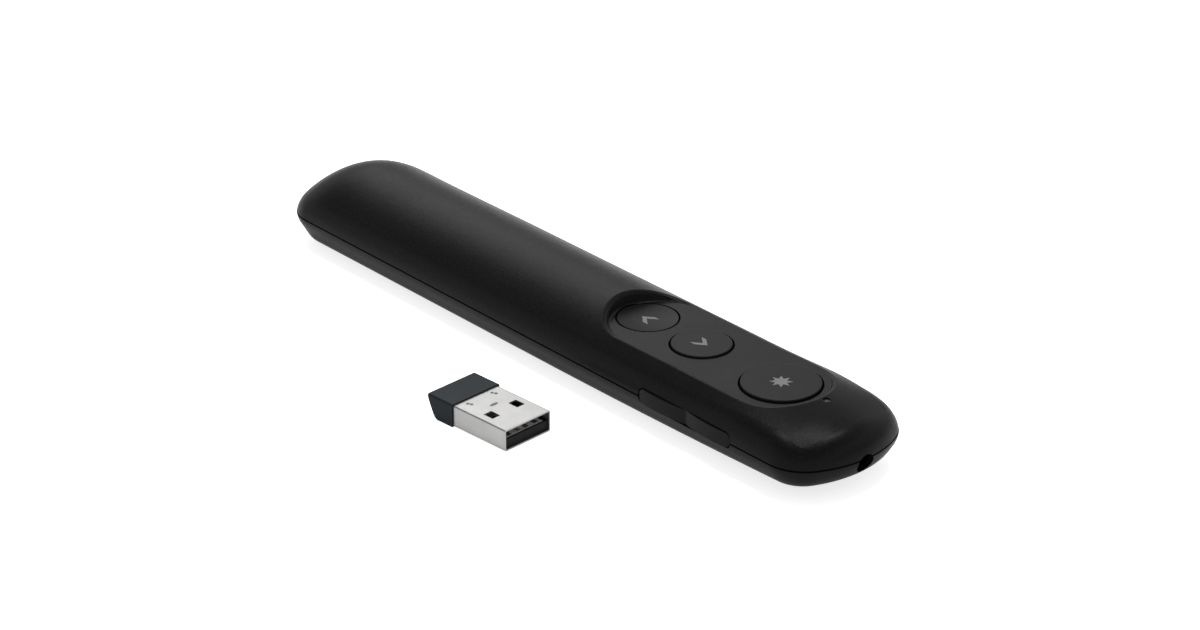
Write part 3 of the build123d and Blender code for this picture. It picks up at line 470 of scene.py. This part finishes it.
def weld(name, along, across, length, width):
    """Shallow pressed mark on the plug's top, placed from the plug's middle."""
    deselect()
    turn = Matrix.Rotation(RECEIVER_TURN, 4, "Z")
    place = top_middle("receiver_shell") + turn @ Vector((along, across, 0))
    bpy.ops.mesh.primitive_circle_add(
        vertices=WELD_SIDES, radius=0.5, fill_type="TRIFAN", location=place
    )
    mark = bpy.context.object
    bpy.ops.object.mode_set(mode="EDIT")
    bpy.ops.transform.resize(value=(length, width, 1), center_override=place)
    bpy.ops.object.mode_set(mode="OBJECT")
    mark.rotation_euler.z = RECEIVER_TURN
    lay_on(mark, "receiver_shell")
    settle(mark, name, "receiver", pressed_steel)


for side, across in (("near", -WELD_SPREAD), ("far", WELD_SPREAD)):
    for end, along in (("rear", -WELD_PAIR / 2), ("front", WELD_PAIR / 2)):
        name = "weld_" + side + "_" + end
        weld(name, WELD_SETBACK + along, across + along / 2, WELD_SIZE, WELD_SIZE)
weld("weld_slot", WELD_SETBACK + WELD_SLOT_AHEAD, 0, WELD_SLOT_WIDTH, WELD_SLOT_LENGTH)

chevron("previous_button", "previous_mark", -1)
chevron("next_button", "next_mark", 1)
burst("laser_button", "laser_mark")


# ================================================================ floor, studio and camera
def lay_floor():
    """White floor that keeps the shadows, and glows for the camera and in mirrors."""
    deselect()
    bpy.ops.mesh.primitive_plane_add(size=FLOOR_SIZE, location=(0, 0, 0))
    floor = bpy.context.object
    floor.name = "floor"
    white, paper = new_material("floor_white", FLOOR_COLOR, FLOOR_ROUGHNESS)
    paper.inputs["Specular IOR Level"].default_value = 0.0
    paper.inputs["Emission Color"].default_value = (1, 1, 1, 1)
    tree = white.node_tree
    mirrors = either(tree, "Is Glossy Ray", "Is Transmission Ray")
    mirrored = maths(tree, "MULTIPLY", mirrors, FLOOR_SHINE)
    seen = maths(tree, "MAXIMUM", either(tree, "Is Camera Ray"), mirrored)
    tree.links.new(maths(tree, "MULTIPLY", seen, FLOOR_GLOW), paper.inputs["Emission Strength"])
    floor.data.materials.append(white)


def build_studio():
    """Even fill for matte surfaces, with bright walls and a dark ceiling for mirrors."""
    world = bpy.data.worlds.new("studio")
    world.use_nodes = True
    bpy.context.scene.world = world
    tree = world.node_tree
    sky = tree.nodes["Background"]
    sky.inputs["Color"].default_value = (1, 1, 1, 1)
    direction = tree.nodes.new("ShaderNodeTexCoord")
    split = tree.nodes.new("ShaderNodeSeparateXYZ")
    tree.links.new(direction.outputs["Generated"], split.inputs["Vector"])
    across, height = split.outputs["Y"], split.outputs["Z"]
    near_wall = ramp(tree, height, NEAR_TOP, NEAR_WALL, CEILING_SHADE, "SMOOTHSTEP")
    rear_wall = ramp(tree, height, REAR_RISE, REAR_WALL, REAR_TOP, "SMOOTHSTEP")
    behind = ramp(tree, across, WALL_TURN, 0.0, 1.0, "SMOOTHSTEP")
    above = ramp(tree, height, CEILING_EDGE, 0.0, 1.0, "SMOOTHSTEP")
    walls = blend(tree, behind, near_wall, rear_wall)
    room = blend(tree, above, walls, CEILING_SHADE)
    mirrors = either(tree, "Is Camera Ray", "Is Glossy Ray", "Is Transmission Ray")
    tree.links.new(blend(tree, mirrors, WORLD_FILL, room), sky.inputs["Strength"])


def softbox(name, place, width, height, power, lean=0.0):
    """Rectangular area lamp at a place, aimed at the part and leaning about its own axis."""
    lamp = bpy.data.lights.new(name, "AREA")
    lamp.shape = "RECTANGLE"
    lamp.size = width
    lamp.size_y = height
    lamp.energy = power
    holder = bpy.data.objects.new(name, lamp)
    bpy.context.scene.collection.objects.link(holder)
    holder.location = place
    aim = (-Vector(place)).to_track_quat("-Z", "Y")
    holder.rotation_euler = (aim @ Quaternion((0, 0, 1), lean)).to_euler()


def place_camera():
    """Camera that sees its target from a distance, an elevation and a bearing."""
    data = bpy.data.cameras.new("camera")
    data.lens = CAMERA_LENS
    data.sensor_width = CAMERA_SENSOR
    data.clip_start = CAMERA_NEAREST
    data.clip_end = CAMERA_FARTHEST
    camera = bpy.data.objects.new("camera", data)
    bpy.context.scene.collection.objects.link(camera)
    backward = Vector((
        cos(CAMERA_BEARING) * cos(CAMERA_ELEVATION),
        sin(CAMERA_BEARING) * cos(CAMERA_ELEVATION),
        sin(CAMERA_ELEVATION),
    ))
    right = Vector((0, 0, 1)).cross(backward).normalized()
    upward = backward.cross(right)
    turned_right = right * cos(CAMERA_ROLL) + upward * sin(CAMERA_ROLL)
    turned_up = upward * cos(CAMERA_ROLL) - right * sin(CAMERA_ROLL)
    view = Matrix((turned_right, turned_up, backward)).transposed().to_4x4()
    view.translation = CAMERA_TARGET + backward * CAMERA_DISTANCE
    camera.matrix_world = view
    bpy.context.scene.camera = camera


lay_floor()
build_studio()
softbox("overhead_left", (-0.28, -0.03, 1.15), OVERHEAD_SIDE, OVERHEAD_SIDE, 3.4)
softbox("overhead_right", (0.03, 0.29, 1.15), OVERHEAD_SIDE, OVERHEAD_SIDE, 4.6)
softbox("rear_high", (-0.85, 0.36, 0.84), 0.34, REAR_LAMP_HEIGHT, REAR_LAMP_POWER, REAR_LAMP_LEAN)
softbox("rear_low", (-0.85, 0.63, 0.68), 0.36, REAR_LAMP_HEIGHT, REAR_LAMP_POWER, REAR_LAMP_LEAN)
place_camera()
bpy.context.scene.view_settings.view_transform = "Standard"
